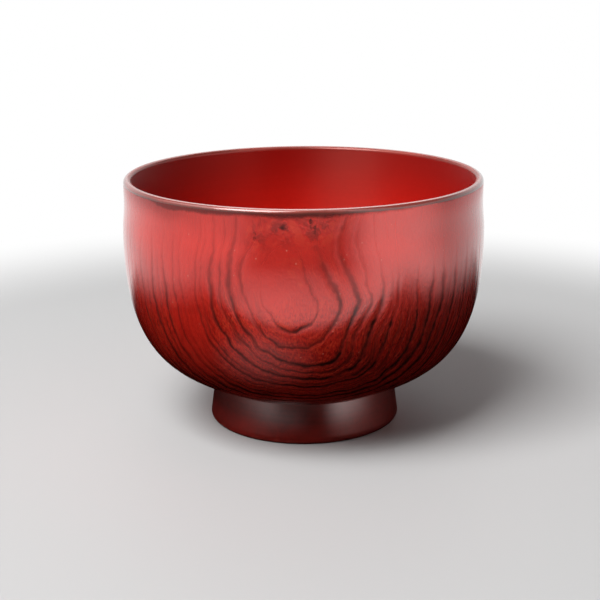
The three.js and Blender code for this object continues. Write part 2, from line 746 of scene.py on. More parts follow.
    def dots(self, scale: float, size: float) -> Socket:
        """Scattered round dots, 1 in the middle of each.

        Args:
            scale: dots to a metre.
            size: radius of a dot, as a share of the space between dots.

        Returns:
            The share of the dots.
        """
        node = self.add("ShaderNodeTexVoronoi", feature="F1")
        self.feed(node.inputs["Vector"], self.place())
        self.feed(node.inputs["Scale"], scale)
        return self.ease(node.outputs["Distance"], 0.0, size, 1.0, 0.0)

    def sway(self, scale: float, size: float) -> Socket:
        """Noise about zero that reaches about a size either way."""
        return self.times(self.less(self.noise(scale), NOISE_MIDDLE), size / NOISE_REACH)

    def ease(self, value: Value, start: Value, end: Value, low: Value = 0.0, high: Value = 1.0) -> Socket:
        """A smooth step.

        Args:
            value: what is read.
            start: where the step starts.
            end: where it ends.
            low: result before the start.
            high: result after the end.

        Returns:
            The result.
        """
        node = self.add("ShaderNodeMapRange", interpolation_type="SMOOTHSTEP")
        for socket, given in zip(node.inputs, (value, start, end, low, high)):
            self.feed(socket, given)
        return node.outputs[0]

    def blend(self, share: Value, first: Union[Colour, Socket], second: Union[Colour, Socket]) -> Socket:
        """A mix of two colours.

        Args:
            share: 0 for the first to 1 for the second.
            first: first colour.
            second: second colour.

        Returns:
            The mixed colour.
        """
        node = self.add("ShaderNodeMix", data_type="RGBA")
        self.feed(node.inputs["Factor"], share)
        colours = [socket for socket in node.inputs if socket.type == "RGBA"]
        self.feed(colours[0], first)
        self.feed(colours[1], second)
        return [socket for socket in node.outputs if socket.type == "RGBA"][0]

    def bump(self, height: Socket, depth: float) -> Socket:
        """A surface normal from a height.

        Args:
            height: 0 to 1.
            depth: millimetres from 0 to 1.

        Returns:
            The normal.
        """
        node = self.add("ShaderNodeBump")
        self.feed(node.inputs["Strength"], 1.0)
        self.feed(node.inputs["Distance"], depth * MM)
        self.feed(node.inputs["Height"], height)
        return node.outputs["Normal"]


@dataclass(frozen=True)
class Streaks:
    """Streaks along the growth rings.

    Args:
        count: streaks to a ring.
        shows: noise from which a streak starts to show and at which it shows fully.
        share: how much of its colour it lays on the red.
    """

    count: float
    shows: Pair
    share: float


@dataclass(frozen=True)
class RubbedRed:
    """Red lacquer rubbed through to black in the open grain, over the outside of the cup.

    Heights are in millimetres. Waves are features to a metre and how far they reach.
    """

    slot: Slot = Slot.RED_OVER_BLACK
    bright: Colour = (0.58, 0.016, 0.009)
    deep: Colour = (0.44, 0.009, 0.005)
    orange: Colour = (0.68, 0.050, 0.020)
    black: Colour = (0.014, 0.004, 0.003)
    dust_and_glint: Colour = (0.85, 0.36, 0.27)
    sheen: Colour = (1.0, 0.10, 0.08)
    sheen_ior: float = 2.7
    # Roughness of the red, and what a line adds to it.
    roughness: Pair = (0.26, 0.4)
    gloss_roughness: float = 0.12
    gloss_ior: float = 1.5
    # The black in the grain is coloured with iron, has no red sheen of its own and is duller.
    iron: float = 0.9
    dull: float = 0.4
    # Features to a metre and finer layers of the change from deep to bright, and where it lies.
    mottle: Pair = (75.0, 4.0)
    mottle_ends: Pair = (0.3, 0.7)
    # Heights over which the red starts to lie thicker, and what then shows of lines and streaks.
    rubbed: Pair = (46.0, 62.0)
    rubbed_share: float = 0.66
    streak_share: float = 0.5
    # A line's half width in millimetres at its faintest, what its darkness adds, and the most that
    # half a line takes up of the space between two.
    line_half: Pair = (0.08, 0.66)
    line_share: float = 0.22
    # A line's dark core and soft flanks: share of the core, what is left of it under thicker red, and
    # where the core starts to fade, where it ends and where the flanks end, in half widths.
    core: float = 0.55
    core_share: float = 0.7
    line_ends: tuple[float, float, float] = (0.1, 1.7, 3.2)
    # Waves that make the lines ragged, and patches of them that are fainter or stronger.
    ragged: tuple[Pair, Pair] = ((420.0, 0.35), (1300.0, 0.25))
    patches: Pair = (110.0, 3.0)
    patchy: Step = (0.28, 0.55, 0.65, 1.45)
    # Dark streaks show where the rings are close: rings to a millimetre between which they start.
    close_rings: Pair = (0.1, 0.3)
    broad: Streaks = Streaks(3.5, (0.5, 0.72), 0.5)
    fine: Streaks = Streaks(9.0, (0.5, 0.66), 0.6)
    # Bright streaks show all over, most where the grain is bare.
    lit: Streaks = Streaks(12.0, (0.54, 0.70), 0.6)
    lit_bare: Step = (0.0, 0.6, 0.3, 1.0)
    # Streaks to a metre along the rings, upwards and sideways.
    along: Pair = (140.0, 140.0)
    # Flecks and pores to a metre, across the grain twice and along it, and where they show.
    flecks: tuple[float, float, float] = (2200.0, 2200.0, 800.0)
    fleck_detail: float = 2.0
    fleck_bare: Step = (0.4, 1.0, 0.12, 1.0)
    lit_flecks: Step = (0.50, 0.66, 0.0, 0.7)
    pores: Step = (0.34, 0.48, 0.45, 0.0)
    # Pale specks of dust with painted glints, to a metre, and the size of each as a share of the space
    # between them.
    specks: Pair = (260.0, 0.09)
    speck_share: float = 0.55
    # Gnarled grain: its noise, ridges and hollows. Knots: their ragged edge and how they darken.
    twist: Pair = (380.0, 2.0)
    ridges: Step = (0.5, 0.62, 0.0, 0.8)
    hollows: Step = (0.38, 0.5, 0.6, 0.0)
    knot_edge: Pair = (700.0, 0.25)
    knot: Step = (0.3, 0.9, 0.0, 0.75)
    # Depth of the relief in millimetres, and what fine streaks, waves and hollows add to the lines.
    groove: float = 0.06
    fine_relief: float = 0.35
    ripple: Pair = (1000.0, 0.3)
    hollow_relief: float = 2.0
    # The lip's brown coat thins out on the red: waves of its edge, heights of that edge and of the
    # painted shade below it at the sides, and how far to the sides that painted shade starts and is full.
    lip_waves: tuple[Pair, Pair] = ((45.0, 1.2), (300.0, 0.35))
    lip_edge: Step = (77.3, 78.8, 0.0, 0.8)
    lip_side_shade: Step = (72.0, 79.5, 0.0, 0.55)
    lip_sides: Pair = (22.0, 42.0)

    def material(self) -> bpy.types.Material:
        """Builds the red with its grain, flecks, knots and lip edge.

        Returns:
            The finished material.
        """
        graph = Graph("red_over_black_lacquer")
        ring = graph.attribute("growth_ring")
        x, y, z = graph.axes()
        line = self._lines(graph, ring, z)
        bare = graph.times(graph.attribute("bareness"), self._showing(graph, z, self.streak_share))
        close = graph.times(graph.ease(graph.attribute("ring_rate"), *self.close_rings), bare)
        broad, fine, lit = (
            self._streaks(graph, (ring, z, x), streaks) for streaks in (self.broad, self.fine, self.lit)
        )
        broad, fine = graph.times(broad, close), graph.times(fine, close)
        lit = graph.times(lit, graph.ease(bare, *self.lit_bare))
        gnarl, twist = graph.attribute("gnarl"), graph.noise(*self.twist)
        ridges = graph.times(graph.ease(twist, *self.ridges), gnarl)
        hollows = graph.times(graph.ease(twist, *self.hollows), gnarl)

        mottle = graph.ease(graph.noise(*self.mottle), *self.mottle_ends)
        red = graph.blend(mottle, self.deep, self.bright)
        red = graph.blend(graph.times(lit, self.lit.share), red, self.orange)
        red = self._speckle(graph, red, (x, y, z), graph.ease(bare, *self.fleck_bare))
        red = graph.blend(graph.times(broad, self.broad.share), red, self.black)
        red = graph.blend(graph.times(fine, self.fine.share), red, self.black)
        red = graph.blend(ridges, red, self.orange)
        red = graph.blend(hollows, red, self.black)
        knot = graph.plus(graph.attribute("knot"), graph.sway(*self.knot_edge))
        covered = graph.most(line, graph.ease(knot, *self.knot))
        covered = graph.most(covered, self._lip_shade(graph, x, z))

        relief = graph.plus(line, graph.times(fine, self.fine_relief))
        relief = graph.plus(relief, graph.sway(*self.ripple))
        relief = graph.plus(relief, graph.times(hollows, self.hollow_relief))
        smooth, rougher = self.roughness
        graph.set_shader(
            base_color=graph.blend(covered, red, self.black),
            metallic=graph.times(covered, self.iron),
            roughness=graph.plus(smooth, graph.times(line, rougher)),
            ior=self.sheen_ior,
            specular_tint=self.sheen,
            normal=graph.bump(graph.less(1.0, relief), self.groove),
            coat_weight=graph.less(1.0, graph.times(covered, self.dull)),
            coat_roughness=self.gloss_roughness,
            coat_ior=self.gloss_ior,
        )
        return graph.material

    def _showing(self, graph: Graph, z: Socket, share: float) -> Socket:
        """What shows of the grain: all of it low on the cup, a share where the red lies thicker."""
        return graph.ease(z, *(height * MM for height in self.rubbed), 1.0, share)

    def _streaks(self, graph: Graph, places: tuple[Socket, ...], streaks: Streaks) -> Socket:
        """Streaks drawn out along the growth rings.

        Args:
            graph: the material's graph.
            places: ring number, height and place to the right in metres.
            streaks: their number and where they show.

        Returns:
            The share of the streaks.
        """
        noise = graph.drawn_out(places, (streaks.count, *self.along))
        return graph.ease(noise, *streaks.shows)

    def _speckle(self, graph: Graph, red: Socket, place: tuple[Socket, ...], bare: Socket) -> Socket:
        """Short pores and bright flecks along the grain, and pale specks of dust with painted glints.

        Args:
            graph: the material's graph.
            red: colour of the coat.
            place: the piece's own coordinates in metres.
            bare: share of the pores and flecks that shows.

        Returns:
            The colour with the flecks on it.
        """
        noise = graph.drawn_out(place, self.flecks, self.fleck_detail)
        red = graph.blend(graph.times(graph.ease(noise, *self.lit_flecks), bare), red, self.orange)
        red = graph.blend(graph.times(graph.ease(noise, *self.pores), bare), red, self.black)
        return graph.blend(graph.times(graph.dots(*self.specks), self.speck_share), red, self.dust_and_glint)

    def _lines(self, graph: Graph, ring: Socket, z: Socket) -> Socket:
        """The ring lines, ragged and patchy, 0 on the red to 1 on the black.

        Args:
            graph: the material's graph.
            ring: ring number.
            z: height in metres.

        Returns:
            The share of black.
        """
        rate, dark = graph.attribute("ring_rate"), graph.attribute("ring_dark")
        away = graph.math("DIVIDE", graph.math("PINGPONG", ring, 0.5), rate)
        least, more = self.line_half
        half = graph.plus(graph.times(dark, more), least)
        half = graph.math("MINIMUM", half, graph.math("DIVIDE", self.line_share, rate))
        ragged = graph.plus(*(graph.sway(*waves) for waves in self.ragged))
        away = graph.plus(away, graph.times(ragged, half))
        core_start, core_end, flank_end = (graph.times(half, share) for share in self.line_ends)
        core = graph.ease(away, core_start, core_end, self.core, 0.0)
        core = graph.times(core, self._showing(graph, z, self.core_share))
        flank = graph.ease(away, 0.0, flank_end, 1.0 - self.core, 0.0)
        patchy = graph.ease(graph.noise(*self.patches), *self.patchy)
        strength = graph.math("MULTIPLY", dark, patchy, clamp=True)
        strength = graph.times(strength, self._showing(graph, z, self.rubbed_share))
        return graph.times(graph.plus(core, flank), strength)

    def _lip_shade(self, graph: Graph, x: Socket, z: Socket) -> Socket:
        """The uneven dark edge that the lip's brown coat leaves on the red, and a painted shade below it
        at the sides.

        Args:
            graph: the material's graph.
            x: place to the right in metres.
            z: height in metres.

        Returns:
            The share of black.
        """
        height = graph.mm(z)
        for waves in self.lip_waves:
            height = graph.plus(height, graph.sway(*waves))
        # Painted shade below the lip at the sides, darkening the red where it reflects less.
        sides = graph.ease(graph.math("ABSOLUTE", graph.mm(x)), *self.lip_sides)
        painted_side_shade = graph.times(graph.ease(height, *self.lip_side_shade), sides)
        return graph.most(graph.ease(height, *self.lip_edge), painted_side_shade)


@dataclass(frozen=True)
class TurnedLacquer:
    """Plain lacquer with the faint rings of the brush that laid it while the bowl turned.

    Args:
        slot: material slot of the part.
        bright: colour where the coat is fullest.
        deep: colour where it is thinnest.
        edge_wear_and_shade: colour along its edge: wear on the foot, the inside coat's lap on the lip,
            and painted shade towards the lip on the inside.
        roughness: of the coat's body.
        gloss: weight of the clear top coat.
        gloss_roughness: roughness of the top coat.
        sheen: tint of what the body reflects.
        sheen_ior: how strongly the body reflects.
        gloss_ior: how strongly the top coat reflects.
        brushed: how far the brush rings draw the body's reflections out.
        brush_turn: which way they do, in whole turns: a quarter is up and down.
        streaks: depth of the brush rings in millimetres.
        brush: brush rings to a metre, outwards, sideways and upwards.
        mottle: patches to a metre, and finer layers of them.
        grain: grains to a metre, and finer layers of them.
        shares: how much brush rings, mottle and grain change the colour.
        turns: sums of these between which it turns from deep to bright.
        uneven: how far the mottle changes the roughness.
    """

    slot: Slot
    bright: Colour
    deep: Colour
    edge_wear_and_shade: Colour
    roughness: float
    gloss: float
    gloss_roughness: float
    sheen: Colour
    sheen_ior: float
    gloss_ior: float = 1.5
    brushed: float = 0.0
    brush_turn: float = 0.25
    streaks: float = 0.01
    brush: tuple[float, float, float] = (900.0, 12.0, 900.0)
    mottle: Pair = (60.0, 3.0)
    grain: Pair = (650.0, 2.0)
    shares: tuple[float, float, float] = (0.3, 0.4, 0.3)
    turns: Pair = (0.3, 0.7)
    uneven: float = 0.1

    def material(self) -> bpy.types.Material:
        """Builds the coat with its brush rings and its edge.

        Returns:
            The finished material.
        """
        graph = Graph(f"{self.slot.value}_lacquer")
        x, y, z = graph.axes()
        radius = graph.reach(x, y)
        rings = graph.drawn_out((radius, x, z), self.brush)
        mottle = graph.noise(*self.mottle)
        share = 0.0
        for noise, weight in zip((rings, mottle, graph.noise(*self.grain)), self.shares):
            share = graph.plus(share, graph.times(noise, weight))
        colour = graph.blend(graph.ease(share, *self.turns), self.deep, self.bright)
        smoothest = self.roughness - self.uneven / 2.0
        graph.set_shader(
            base_color=self._edge(graph, colour, radius, z),
            roughness=graph.plus(smoothest, graph.times(mottle, self.uneven)),
            ior=self.sheen_ior,
            specular_tint=self.sheen,
            normal=graph.bump(rings, self.streaks),
            coat_weight=self._gloss(graph, radius),
            coat_roughness=self.gloss_roughness,
            coat_ior=self.gloss_ior,
            anisotropic=self.brushed,
            anisotropic_rotation=self.brush_turn,
            tangent=graph.add("ShaderNodeTangent", direction_type="RADIAL", axis="Z").outputs[0],
        )
        return graph.material

    def _gloss(self, graph: Graph, radius: Socket) -> Value:
        """Weight of the clear top coat at a distance from the axis."""
        return self.gloss

    def _edge(self, graph: Graph, colour: Socket, radius: Socket, z: Socket) -> Socket:
        """The coat's colour with its edge.

        Args:
            graph: the material's graph.
            colour: colour of the coat.
            radius: distance from the axis in metres.
            z: height in metres.

        Returns:
            The colour.
        """
        return colour


@dataclass(frozen=True)
class LipLacquer(TurnedLacquer):
    """Lacquer of the lip, which the coat of the inside laps.

    Args:
        lap: radii in millimetres between which the inside coat thins out on it.
        polish: radii between which its polish grows.
        least_gloss: weight of the clear top coat on its inner side.
        wander: how these radii wander: features to a metre, and millimetres.
        shade: colour of its lower edge.
        shade_heights: heights in millimetres between which the shade thins out, and its share.
        shade_wander: how these heights wander.
    """

    lap: Pair = (54.3, 54.5)
    polish: Pair = (55.1, 55.7)
    least_gloss: float = 0.2
    wander: Pair = (150.0, 0.05)
    shade: Colour = (0.045, 0.012, 0.008)
    shade_heights: Step = (78.6, 79.6, 0.9, 0.0)
    shade_wander: Pair = (60.0, 0.3)

    def _reach(self, graph: Graph, radius: Socket) -> Socket:
        """Uneven distance from the axis in millimetres."""
        return graph.plus(graph.mm(radius), graph.sway(*self.wander))

    def _gloss(self, graph: Graph, radius: Socket) -> Value:
        """Weight of the clear top coat, less on the inner side."""
        return graph.ease(self._reach(graph, radius), *self.polish, self.least_gloss, self.gloss)

    def _edge(self, graph: Graph, colour: Socket, radius: Socket, z: Socket) -> Socket:
        """The coat's colour with its dark lower edge and the lap of the inside coat.

        Args:
            graph: the material's graph.
            colour: colour of the coat.
            radius: distance from the axis in metres.
            z: height in metres.

        Returns:
            The colour.
        """
        height = graph.plus(graph.mm(z), graph.sway(*self.shade_wander))
        colour = graph.blend(graph.ease(height, *self.shade_heights), colour, self.shade)
        lap = graph.ease(self._reach(graph, radius), *self.lap, 1.0, 0.0)
        return graph.blend(lap, colour, self.edge_wear_and_shade)


@dataclass(frozen=True)
class InsideLacquer(TurnedLacquer):
    """Lacquer of the inside, with painted shade that makes it darker towards the lip.

    Args:
        painted_shade_heights: heights in millimetres between which it turns from its full colour to the
            darker painted shade.
    """

    painted_shade_heights: Pair = (50.0, 82.0)

    def _edge(self, graph: Graph, colour: Socket, radius: Socket, z: Socket) -> Socket:
        """The coat's colour, with painted shade darker towards the lip."""
        # Painted shade: darker towards the lip.
        return graph.blend(graph.ease(graph.mm(z), *self.painted_shade_heights), colour, self.edge_wear_and_shade)


@dataclass(frozen=True)
class FootLacquer(TurnedLacquer):
    """Lacquer of the foot, which splays, and shows wear along its standing edge.

    Args:
        polish: radii in millimetres between which its polish falls.
        least_gloss: weight of the clear top coat round the base.
        worn_heights: heights in millimetres between which the wear ends.
        wander: how these heights wander: features to a metre, and millimetres.
    """

    polish: Pair = (29.6, 30.7)
    least_gloss: float = 0.5
    worn_heights: Pair = (0.3, 1.6)
    wander: Pair = (260.0, 0.5)

    def _gloss(self, graph: Graph, radius: Socket) -> Value:
        """Weight of the clear top coat, less round the base."""
        ends = (reach * MM for reach in self.polish)
        return graph.ease(radius, *ends, self.gloss, self.least_gloss)

    def _edge(self, graph: Graph, colour: Socket, radius: Socket, z: Socket) -> Socket:
        """The coat's colour with wear along its standing edge."""
        height = graph.plus(graph.mm(z), graph.sway(*self.wander))
        return graph.blend(graph.ease(height, *self.worn_heights, 1.0, 0.0), colour, self.edge_wear_and_shade)


VERMILION = InsideLacquer(
    slot=Slot.VERMILION,
    bright=(0.55, 0.010, 0.005),
    deep=(0.46, 0.008, 0.004),
    # Painted shade: the inside turns darker towards the lip.
    edge_wear_and_shade=(0.24, 0.003, 0.002),
    roughness=0.42,
    gloss=0.1,
    gloss_roughness=0.25,
    sheen=(1.0, 0.5, 0.4),
    sheen_ior=1.5,
    brushed=0.85,
)
LIP_BROWN = LipLacquer(
    slot=Slot.LIP_BROWN,
    bright=(0.28, 0.038, 0.027),
    deep=(0.15, 0.022, 0.016),
    edge_wear_and_shade=(0.22, 0.010, 0.006),
    roughness=0.35,
    gloss=1.0,
    gloss_roughness=0.06,
    sheen=(1.0, 0.4, 0.35),
    sheen_ior=1.5,
)
FOOT_RED = FootLacquer(
    slot=Slot.FOOT_RED,
    bright=(0.21, 0.009, 0.006),
    deep=(0.085, 0.005, 0.004),
    edge_wear_and_shade=(0.23, 0.026, 0.020),
    roughness=0.34,
    gloss=1.0,
    gloss_roughness=0.15,
    sheen=(1.0, 0.25, 0.20),
    sheen_ior=1.8,
    gloss_ior=2.1,
)


@dataclass(frozen=True)
class ZelkovaWood:
    """Turned zelkova sealed with raw lacquer, hidden under the coats."""

    slot: Slot = Slot.ZELKOVA
    early: Colour = (0.46, 0.23, 0.075)
    late: Colour = (0.25, 0.10, 0.028)
    # Millimetres from ring to ring, how the rings wander, and where and how far each is dark.
    ring_spacing: float = 2.4
    ring_wander: Pair = (45.0, 1.0)
    late_wood: Step = (0.05, 0.3, 0.8, 0.0)
    # Fibres to a metre, across twice and along, and where pores open between them.
    fibres: tuple[float, float, float] = (1500.0, 1500.0, 60.0)
    pores: Pair = (0.55, 0.7)
    pore_share: float = 0.4
    # Roughness, and what pores add to it.
    roughness: Pair = (0.6, 0.2)
    relief: float = 0.05

    def material(self) -> bpy.types.Material:
        """Builds the wood with its rings and pores.

        Returns:
            The finished material.
        """
        graph = Graph("sealed_zelkova")
        place = graph.axes()
        depth = graph.plus(graph.mm(place[1]), graph.sway(*self.ring_wander))
        offset = graph.math("PINGPONG", graph.math("DIVIDE", depth, self.ring_spacing), 0.5)
        fibre = graph.drawn_out(place, self.fibres)
        pores = graph.ease(fibre, *self.pores)
        colour = graph.blend(graph.ease(offset, *self.late_wood), self.early, self.late)
        colour = graph.blend(graph.times(pores, self.pore_share), colour, self.late)
        smooth, rougher = self.roughness
        graph.set_shader(
            base_color=colour,
            roughness=graph.plus(smooth, graph.times(pores, rougher)),
            normal=graph.bump(fibre, self.relief),
        )
        return graph.material


@dataclass(frozen=True)
class HempWeave:
    """Hemp cloth stiffened with lacquer paste, hidden under the coats."""

    slot: Slot = Slot.HEMP
    raised: Colour = (0.33, 0.25, 0.12)
    sunk: Colour = (0.13, 0.09, 0.04)
    threads_round: float = 220.0
    thread_height: float = 1.1
    # Uneven threads: features to a metre, finer layers and their share of the height.
    slubs: Pair = (300.0, 3.0)
    slub_share: float = 0.2
    # Roughness, and what slubs add to it.
    roughness: Pair = (0.75, 0.2)
    relief: float = 0.12

    def material(self) -> bpy.types.Material:
        """Builds the cloth with its threads.

        Returns:
            The finished material.
        """
        graph = Graph("lacquered_hemp")
        x, y, z = graph.axes()
        turn = graph.times(graph.math("ARCTAN2", y, x), self.threads_round / 2.0)
        rise = graph.times(z, math.pi / (self.thread_height * MM))
        weave = graph.times(graph.math("SINE", turn), graph.math("SINE", rise))
        weave = graph.plus(graph.times(weave, 0.5), 0.5)
        slub = graph.noise(*self.slubs)
        height = graph.plus(graph.times(weave, 1.0 - self.slub_share), graph.times(slub, self.slub_share))
        smooth, rougher = self.roughness
        graph.set_shader(
            base_color=graph.blend(height, self.sunk, self.raised),
            roughness=graph.plus(smooth, graph.times(slub, rougher)),
            normal=graph.bump(height, self.relief),
        )
        return graph.material


# Sub-assemblies


def dress(piece: bpy.types.Object, material: bpy.types.Material) -> None:
    """Gives a piece one material all over."""
    piece.data.materials.clear()
    piece.data.materials.append(material)


def settle(piece: bpy.types.Object, node: str) -> None:
    """Puts a piece on the bowl in the place of its CAD node.

    Args:
        piece: the piece.
        node: the node's name.
    """
    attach(piece, "root")
    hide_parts(node)
    log.info("%s: %d faces", piece.name, len(piece.data.polygons))


@dataclass
class Foot:
    """The ring foot: the coat round it and the coat in the recess under it."""

    height: float = 12.7
    top_radius: float = 29.4
    base_radius: float = 30.9
    edge_thickness: float = 4.6
    edge_round: float = 1.2
    recess_depth: float = 9.0
    recess_radius: float = 25.2
    recess_steps: int = 10
    inner_steps: int = 6
    round_steps: int = 10
    edge_steps: int = 2
    outer_steps: int = 10
    # Points of the hidden side stepped over at a time.
    stride: int = 2
    facets: int = 280

    def crease(self) -> Vector:
        """Where the foot meets the cup."""
        return point(self.top_radius, self.height)

    def runs(self) -> dict[Run, list[Vector]]:
        """Finished section of the recess and the foot.

        Returns:
            Points of each stretch.
        """
        edge_inside = self.base_radius - self.edge_thickness
        corner = point(self.recess_radius, self.recess_depth)
        size, steps = self.edge_round, self.round_steps
        inner_round = arc(point(edge_inside + size, size), size, 180, 270, steps)
        outer_round = arc(point(self.base_radius - size, size), size, -90, 0, steps)
        return {
            Run.BASE: straight(point(0.0, self.recess_depth), corner, self.recess_steps),
            Run.FOOT: chain(
                straight(corner, inner_round[0], self.inner_steps),
                inner_round,
                straight(inner_round[-1], outer_round[0], self.edge_steps),
                outer_round,
                straight(outer_round[-1], self.crease(), self.outer_steps),
            ),
        }

    def build(self, section: Section, lathe: Lathe) -> None:
        """Turns and dresses the two coats.

        Args:
            section: section of the whole bowl.
            lathe: what turns them.
        """
        material = FOOT_RED.material()
        for run in (Run.FOOT, Run.BASE):
            piece = lathe.turn(f"{run.value}_finish", section.coat(run, self.stride), self.facets)
            dress(piece, material)
            settle(piece, run.value)


@dataclass
class Cup:
    """The cup: the coats of its outside, its lip and its inside."""

    height: float = 80.0
    belly_radius: float = 57.5
    belly_height: float = 61.0
    underside_slope: float = 27.0
    underside_run: float = 14.0
    belly_drop: float = 39.5
    shoulder_pull: float = 7.0
    wall: float = 3.2
    floor_height: float = 17.5
    floor_spread: float = 42.0
    inside_drop: float = 36.0
    lip_radius: float = 56.8
    lip_thickness: float = 2.5
    lip_lap: float = 4.0
    underside_steps: int = 112
    shoulder_steps: int = 28
    outer_lap_steps: int = 9
    lip_steps: int = 18
    inner_lap_steps: int = 4
    wall_steps: int = 8
    hollow_steps: int = 70
    # Points of the hidden side stepped over at a time, outside and inside.
    outer_stride: int = 7
    inner_stride: int = 2
    facets: int = 560
    inside_facets: int = 280
    # Depth of the open grain in millimetres, the height over which it fades at lip and foot, and
    # the share of that height that stays smooth at the foot.
    relief: float = 0.09
    relief_fade: float = 2.5
    relief_start: float = 0.3
    # Half width of a groove in millimetres at its faintest, what its darkness adds, the most that
    # it takes up of the space between two, how far its flanks reach and the shallowest one cut.
    groove_half: Pair = (0.25, 0.7)
    groove_share: float = 0.3
    groove_flank: float = 1.6
    least_groove: float = 0.01
    # What is added to the ring numbers, so that none is below zero.
    first_ring: float = 10.0
    rings: GrowthRings = GrowthRings()
    # Small dark knots.
    knots: tuple[Swell, ...] = (
        Swell(-5.8, 75.2, 0.8, 0.9, 1.0),
        Swell(2.0, 76.4, 0.5, 1.2, 1.0),
        Swell(3.2, 74.2, 0.5, 1.6, 0.9),
        Swell(-13.8, 72.0, 0.5, 1.8, 0.7),
    )
    # Places where the grain is gnarled round them.
    gnarls: tuple[Swell, ...] = (
        Swell(-6.0, 74.5, 4.5, 2.6, 1.0),
        Swell(3.5, 74.5, 4.0, 3.2, 1.0),
        Swell(-13.0, 72.5, 2.2, 3.5, 0.7),
    )

    def runs(self, crease: Vector) -> dict[Run, list[Vector]]:
        """Finished section of the cup.

        Args:
            crease: where the foot meets it.

        Returns:
            Points of each stretch.
        """
        slope = math.radians(self.underside_slope)
        leaving = crease + self.underside_run * Vector((math.cos(slope), math.sin(slope)))
        belly = point(self.belly_radius, self.belly_height)
        lip_round = self.lip_thickness / 2.0
        lip_height = self.height - lip_round
        lap_height = lip_height - self.lip_lap
        lap = point(self.lip_radius, lap_height)
        lip_outside = point(self.lip_radius, lip_height)
        lip_inside = point(self.lip_radius - self.lip_thickness, lip_height)
        inside_lap = point(lip_inside.x, lap_height)
        inside = point(self.belly_radius - self.wall, self.belly_height)
        underside = (crease, leaving, belly - point(0.0, self.belly_drop), belly)
        pull = point(0.0, self.shoulder_pull)
        shoulder = (belly, belly + pull, lap - pull, lap)
        hollow = (
            inside,
            inside - point(0.0, self.inside_drop),
            point(self.floor_spread, self.floor_height),
            point(0.0, self.floor_height),
        )
        return {
            Run.OUTSIDE: chain(
                sweep(underside, self.underside_steps),
                sweep(shoulder, self.shoulder_steps),
                straight(lap, lip_outside, self.outer_lap_steps),
            ),
            Run.LIP: arc(lip_outside - point(lip_round, 0.0), lip_round, 0, 180, self.lip_steps),
            Run.INSIDE: chain(
                straight(lip_inside, inside_lap, self.inner_lap_steps),
                straight(inside_lap, inside, self.wall_steps),
                sweep(hollow, self.hollow_steps),
            ),
        }

    def build(self, section: Section, lathe: Lathe) -> None:
        """Turns and dresses the three coats.

        Args:
            section: section of the whole bowl.
            lathe: what turns them.
        """
        red = RubbedRed()
        outline = section.coat(Run.OUTSIDE, self.outer_stride)
        outside = lathe.turn(f"{Run.OUTSIDE.value}_finish", outline, self.facets)
        self._mark_grain(outside)
        self._cut_grain(outside)
        dress(outside, red.material())
        settle(outside, Run.OUTSIDE.value)
        for run, finish, facets in (
            (Run.LIP, LIP_BROWN, self.facets),
            (Run.INSIDE, VERMILION, self.inside_facets),
        ):
            piece = lathe.turn(f"{run.value}_finish", section.coat(run, self.inner_stride), facets)
            dress(piece, finish.material())
            settle(piece, run.value)

    def _mark_grain(self, outside: bpy.types.Object) -> None:
        """Keeps the growth rings on the coat's points, for its finish and for the relief.

        Args:
            outside: the coat.
        """
        mesh = outside.data
        places, normals = (np.empty((len(mesh.vertices), 3)) for _ in range(2))
        mesh.vertices.foreach_get("co", places.ravel())
        mesh.vertices.foreach_get("normal", normals.ravel())
        at = places / MM
        rate = self.rings.rate(at, normals)
        number = self.rings.number(at, rate)
        dark = self.rings.darkness(at, number)
        marks = {
            "growth_ring": number + self.first_ring,
            "ring_rate": rate,
            "ring_dark": dark,
            "bareness": np.clip(self.rings.left_bare(at, self.rings.covers), 0.0, 1.0),
            "knot": self._greatest(self.knots, at),
            "gnarl": self._greatest(self.gnarls, at),
        }
        for name, values in marks.items():
            kept = mesh.attributes.new(name=name, type="FLOAT", domain="POINT")
            kept.data.foreach_set("value", values.astype(np.float32))

        away = np.abs(number - np.round(number)) / rate
        least, more = self.groove_half
        half = np.minimum(least + more * dark, self.groove_share / rate)
        groove = dark * np.clip(1.0 - away / (self.groove_flank * half), 0.0, 1.0)
        height = at[:, 2]
        from_lip = self.height - self.lip_thickness / 2.0 - height
        from_foot = height - height.min()
        fade_up = np.clip(from_lip / self.relief_fade, 0.0, 1.0)
        fade_down = np.clip(from_foot / self.relief_fade - self.relief_start, 0.0, 1.0)
        outward = np.einsum("ij,ij->i", normals[:, :2], at[:, :2]) > 0.0
        weights = groove * fade_up * fade_down * outward
        group = outside.vertex_groups.new(name="open_grain")
        for index in np.flatnonzero(weights > self.least_groove):
            group.add([int(index)], float(weights[index]), "REPLACE")

    def _greatest(self, swells: tuple[Swell, ...], at: np.ndarray) -> np.ndarray:
        """The greatest push of some swells at each point, 0 away from them."""
        return np.max([swell.rise(at, self.lip_radius) for swell in swells], axis=0)

    def _cut_grain(self, outside: bpy.types.Object) -> None:
        """Sinks the open grain into the coat.

        Args:
            outside: the coat, with the grain marked on it.
        """
        sink = outside.modifiers.new("open_grain", "DISPLACE")
        sink.vertex_group = "open_grain"
        sink.mid_level = 0.0
        sink.strength = -self.relief * MM
        bpy.ops.object.select_all(action="DESELECT")
        outside.select_set(True)
        bpy.context.view_layer.objects.active = outside
        bpy.ops.object.modifier_apply(modifier=sink.name)


